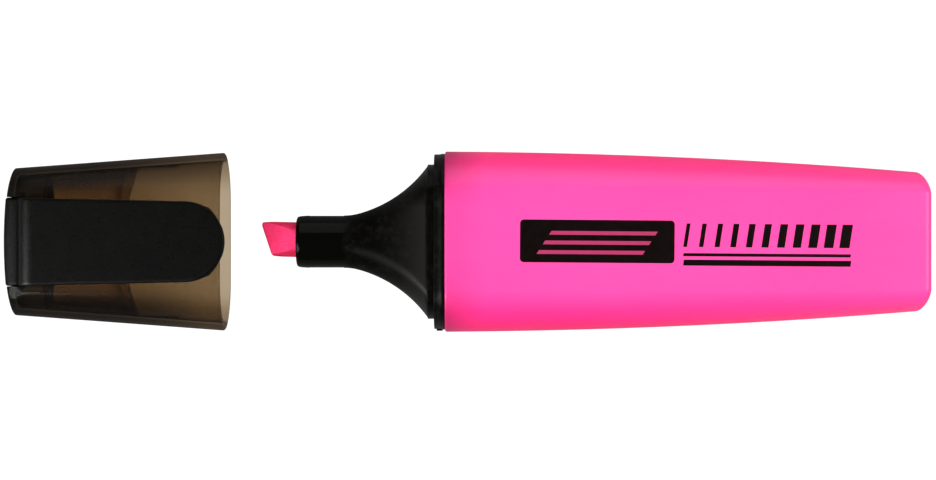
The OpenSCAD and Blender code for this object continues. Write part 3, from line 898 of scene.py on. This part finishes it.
def clip_outline():
    """Pairs of points (u, z), outside and inside, along the clip from its root to the tip.

    u is measured from the cap's closed end and z from the pen's axis.
    """
    root_mm = [
        ((-0.50, 1.60), (0.80, 1.60)), ((-0.50, 2.40), (0.80, 2.40)), ((-0.50, 3.30), (0.85, 3.25)),
        ((-0.49, 3.95), (1.10, 3.60)), ((-0.44, 4.25), (1.60, 3.85)), ((-0.32, 4.50), (2.00, 4.10)),
        ((-0.12, 4.66), (2.20, 4.40)), ((0.40, 4.86), (2.30, 4.70)), ((1.00, 5.10), (2.34, 5.00)),
        ((1.50, 5.30), (2.40, 5.20)), ((1.72, 5.40), (2.50, 5.34)), ((1.86, 5.56), (2.60, 5.46)),
        ((1.96, 5.84), (2.72, 5.56)), ((2.08, 6.15), (2.86, 5.65)), ((2.24, 6.46), (3.00, 5.72)),
        ((2.46, 6.75), (3.16, 5.78)), ((2.74, 7.00), (3.34, 5.83)), ((3.06, 7.19), (3.54, 5.87)),
        ((3.42, 7.33), (3.78, 5.905)), ((3.80, 7.41), (4.02, 5.935)),
    ]
    pairs = [((a[0] * MM, a[1] * MM), (b[0] * MM, b[1] * MM)) for a, b in root_mm]
    thick = CLIP_T * math.sqrt(1 + ARM_SLOPE ** 2)
    arm_steps = 40
    tip_steps = 26
    short_of_tip = 0.985
    arm_start = 4.2 * MM
    arm = [arm_start + (TIP_U - arm_start) * i / arm_steps for i in range(arm_steps)]
    turns = [math.pi / 2 * i / tip_steps * short_of_tip for i in range(tip_steps + 1)]
    arm += [TIP_U + TIP_R * math.sin(a) for a in turns]
    bead_low = cap_section(BEAD_U)[2] + 0.05 * MM
    for u in arm:
        low = arm_top(u) - thick
        off = abs(u - BEAD_U) / BEAD_R
        if off < 1:
            depth = arm_top(BEAD_U) - thick - bead_low
            low -= depth * math.sqrt(1 - off * off)
        pairs.append(((u, arm_top(u)), (u, low)))
    return pairs


def direction(points, i):
    """The unit direction of a line of points at one of them."""
    a, b = points[max(i - 1, 0)], points[min(i + 1, len(points) - 1)]
    length = math.dist(a, b)
    return ((b[0] - a[0]) / length, (b[1] - a[1]) / length)


def make_clip():
    """The clip as two faces over its plan, joined round the edge, with every edge rounded."""
    edge = 0.32 * MM
    least_half = 0.15 * MM
    across = 36
    spread = [math.sin(math.pi / 2 * (2 * j / across - 1)) for j in range(across + 1)]
    outer, inner = zip(*clip_outline())
    rings = []
    for i, (top, low) in enumerate(zip(outer, inner)):
        half = max(clip_half_w(top[0]), least_half)
        crown = max(0.0, 1 - top[0] / CROWN_LEN) / (2 * CROWN_R)
        ring = []
        for point, line, sign, order in ((top, outer, -1, spread), (low, inner, 1, spread[::-1])):
            along_u, along_z = direction(line, i)
            for v in order:
                y = v * half
                gap = half - abs(y)
                if top[0] > TIP_U:
                    gap = TIP_R - math.hypot(top[0] - TIP_U, y)
                drawn = inset(max(gap, 0), edge, edge)
                u = point[0] - sign * along_z * drawn + crown * y * y
                z = point[1] + sign * along_u * drawn
                ring.append((X_END + u, y, AXIS_Z + z))
        rings.append(ring)
    verts, faces = open_skin(rings)
    n = len(rings[0])
    for start in (0, len(verts) - n):
        for j in range(across):
            faces.append((start + j, start + j + 1, start + n - 2 - j, start + n - 1 - j))
    return new_piece("clip_moulding", verts, faces, sharp=40)


# ---- Print ----

PRINT_TILT = math.radians(-0.45)
INK_UP = 0.02 * MM
INK_DOWN = 0.03 * MM
OPEN_STROKE_UP = INK_UP + 0.012 * MM


def print_patch(name, rows, pivot, lift=INK_UP):
    """A thin film on the top face, turned by the print's tilt. rows are (y, x0, x1) from low to high y."""
    across = 14
    top, under = [], []
    for y, x0, x1 in rows:
        for i in range(across + 1):
            x = x0 + (x1 - x0) * i / across
            dx, dy = x - pivot[0], y - pivot[1]
            px = pivot[0] + dx * math.cos(PRINT_TILT) - dy * math.sin(PRINT_TILT)
            py = pivot[1] + dx * math.sin(PRINT_TILT) + dy * math.cos(PRINT_TILT)
            z = AXIS_Z + barrel_half_t(px)
            top.append((px, py, z + lift))
            under.append((px, py, z - INK_DOWN))
    w = across + 1
    n = len(top)
    faces = []
    for r in range(len(rows) - 1):
        for i in range(across):
            a = r * w + i
            faces.append((a, a + 1, a + w + 1, a + w))
            faces.append((n + a, n + a + w, n + a + w + 1, n + a + 1))
    rim = list(range(across)) + [across + r * w for r in range(len(rows) - 1)]
    rim += [(len(rows) - 1) * w + i for i in range(across, 0, -1)]
    rim += [r * w for r in range(len(rows) - 1, 0, -1)]
    for k, a in enumerate(rim):
        b = rim[(k + 1) % len(rim)]
        faces.append((a, b, n + b, n + a))
    return new_piece(name, top + under, faces, sharp=30)


def rounded_rows(x0, x1, y0, y1, r, steps=6):
    """Rows of a rectangle with round corners."""
    rows = []
    for i in range(steps + 1):
        a = math.pi / 2 * i / steps
        draw = r * (1 - math.sin(a))
        rows.append((y0 + r * (1 - math.cos(a)), x0 + draw, x1 - draw))
    for i in range(steps + 1):
        a = math.pi / 2 * (1 - i / steps)
        draw = r * (1 - math.sin(a))
        rows.append((y1 - r * (1 - math.cos(a)), x0 + draw, x1 - draw))
    return rows


def slanted_rows(x0, x1, y0, y1, lean):
    """Rows of a bar whose ends lean like a chisel stroke."""
    steps = 4
    shares = [i / steps for i in range(steps + 1)]
    return [(y0 + (y1 - y0) * k, x0 + lean * k, x1 + lean * k) for k in shares]


def print_label(black, open_pink, x0, x1, pivot):
    """A black label from x0 to x1 with three open strokes in it, each further along than the last."""
    low = -3.05 * MM
    high = 3.15 * MM
    corner = 0.55 * MM
    rows = rounded_rows(x0, x1, low, high, corner)
    wear(print_patch("print_label", rows, pivot), black, "pen", "nose_plastic")
    stroke_half = 0.28 * MM
    lean = 0.35 * MM
    further = 0.9 * MM
    for k, y in enumerate((-1.55 * MM, -0.15 * MM, 1.25 * MM)):
        start = x0 + 2.4 * MM + further * k
        end = x1 - 4.6 * MM + further * k
        rows = slanted_rows(start, end, y - stroke_half, y + stroke_half, lean)
        piece = print_patch(f"print_open_stroke_{k + 1}", rows, pivot, OPEN_STROKE_UP)
        wear(piece, open_pink, "pen", "barrel_plastic")


def print_widths(black, x0, pivot):
    """A row of bars from x0 on, each wider than the one before, over a thin and a thick line."""
    bars = 11
    row_len = 25 * MM
    thinnest = 0.55 * MM
    widest = 1.50 * MM
    bar_low = -0.65 * MM
    bar_high = 2.75 * MM
    bar_lean = 0.5 * MM
    for k in range(bars):
        start = x0 + row_len / bars * k
        width = thinnest + (widest - thinnest) * k / (bars - 1)
        rows = slanted_rows(start, start + width, bar_low, bar_high, bar_lean)
        wear(print_patch(f"print_width_bar_{k + 1}", rows, pivot), black, "pen", "nose_plastic")
    line_end = x0 + row_len - 0.6 * MM
    for name, low, high, lean in (
        ("print_thin_line", -2.0 * MM, -1.55 * MM, 0.07 * MM),
        ("print_thick_line", -3.35 * MM, -2.5 * MM, 0.12 * MM),
    ):
        rows = slanted_rows(x0, line_end, low, high, lean)
        wear(print_patch(name, rows, pivot), black, "pen", "nose_plastic")


def make_print():
    """A black label with open strokes, then a scale of stroke widths. No lettering."""
    label_start = 7.8 * MM
    label_end = 30.2 * MM
    space = 1.25 * MM
    pivot = ((label_start + label_end) / 2, 0.0)
    black, open_pink = print_ink(), print_pink()
    print_label(black, open_pink, label_start, label_end, pivot)
    print_widths(black, label_end + space, pivot)


# ---- Stage ----


def make_floor():
    """A floor that looks plain white to the camera and is mid grey to the light.

    It lies a hair under the rest plane, so that the pen's contact face and the floor don't share one.
    """
    side = 3.0
    level = -0.02 * MM
    corners = [(x, y, level) for x, y in ((-side, -side), (side, -side), (side, side), (-side, side))]
    floor = new_piece("floor", corners, [(0, 1, 2, 3)])
    m = Nodes("floor_paper")
    m.colour(m.mix(m.ramp(m.noise(60 * MM, 3), 0.3, 0.7), (0.30, 0.30, 0.30), (0.33, 0.33, 0.33)))
    m.set(Roughness=0.85, Specular_IOR_Level=0.1)
    glow = m.tree.nodes.new("ShaderNodeEmission")
    glow.inputs["Strength"].default_value = 1.1
    seen = m.tree.nodes.new("ShaderNodeLightPath").outputs["Is Camera Ray"]
    m.surface(m.mixed(seen, m.shader.outputs[0], glow.outputs[0]))
    floor.data.materials.append(m.material)


def make_lights():
    """A faint white surrounding, and three soft square lights turned to the pen."""
    world = bpy.data.worlds.new("studio")
    world.use_nodes = True
    background = world.node_tree.nodes["Background"]
    background.inputs["Color"].default_value = (1, 1, 1, 1)
    background.inputs["Strength"].default_value = 0.08
    bpy.context.scene.world = world

    target = Vector((0, 0, AXIS_Z))
    for name, place, size, power in (
        ("left", (-0.70, -0.40, 0.59), 0.60, 9.0),
        ("right", (0.78, 0.08, 0.66), 0.70, 5.5),
        ("back", (0.05, 0.85, 0.40), 0.90, 2.4),
    ):
        data = bpy.data.lights.new(name, "AREA")
        data.shape = "SQUARE"
        data.size = size
        data.energy = power
        lamp = bpy.data.objects.new(name, data)
        lamp.location = place
        lamp.rotation_euler = (target - Vector(place)).to_track_quat("-Z", "Y").to_euler()
        bpy.context.scene.collection.objects.link(lamp)


def make_camera():
    """Straight above the pen, with the image's up along +Y."""
    distance = 0.321
    focal_mm = 83.0
    right = 0.26 * MM
    up = 0.25 * MM
    data = bpy.data.cameras.new("camera")
    data.lens = focal_mm
    data.sensor_width = 36.0
    data.clip_start = 0.01
    camera = bpy.data.objects.new("camera", data)
    camera.location = (right, up, AXIS_Z + distance)
    bpy.context.scene.collection.objects.link(camera)
    bpy.context.scene.camera = camera


scene = bpy.context.scene
scene.view_settings.view_transform = "Standard"
scene.cycles.transparent_max_bounces = 32

make_camera()
make_floor()
make_lights()

wear(make_barrel(), pink_plastic(), "pen", "barrel_plastic", "barrel")
wear(make_nose(), nose_plastic(), "pen", "nose_plastic", "nose_section")
wear(make_nib(), nib_felt(), "pen", "nib_felt", "nib")
make_print()
wear(
    make_cap_shell(),
    smoke_plastic("cap_smoke", tint=(0.655, 0.585, 0.485), roughness=0.12, gloss_weight=0.007),
    "cap", "cap_smoke", "cap_shell",
)
wear(
    make_liner(),
    smoke_plastic(
        "seal_smoke", tint=(0.815, 0.765, 0.70), roughness=0.25, gloss_weight=0.003,
        dense_from=seal_hi.x - 1.5 * MM,
    ),
    "cap", "seal_smoke", "cap_inner_seal",
)
wear(copied("cap_end_plug", "cap_plug"), plug_plastic(), "cap", "plug_plastic", "cap_end_plug")
wear(make_clip(), clip_plastic(), "clip", "clip_plastic", "cap_clip")
for node, material in (("ink_reservoir", ink_fibre()), ("reservoir_wrap", wrap_film())):
    for material_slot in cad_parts[node].material_slots:
        material_slot.material = material
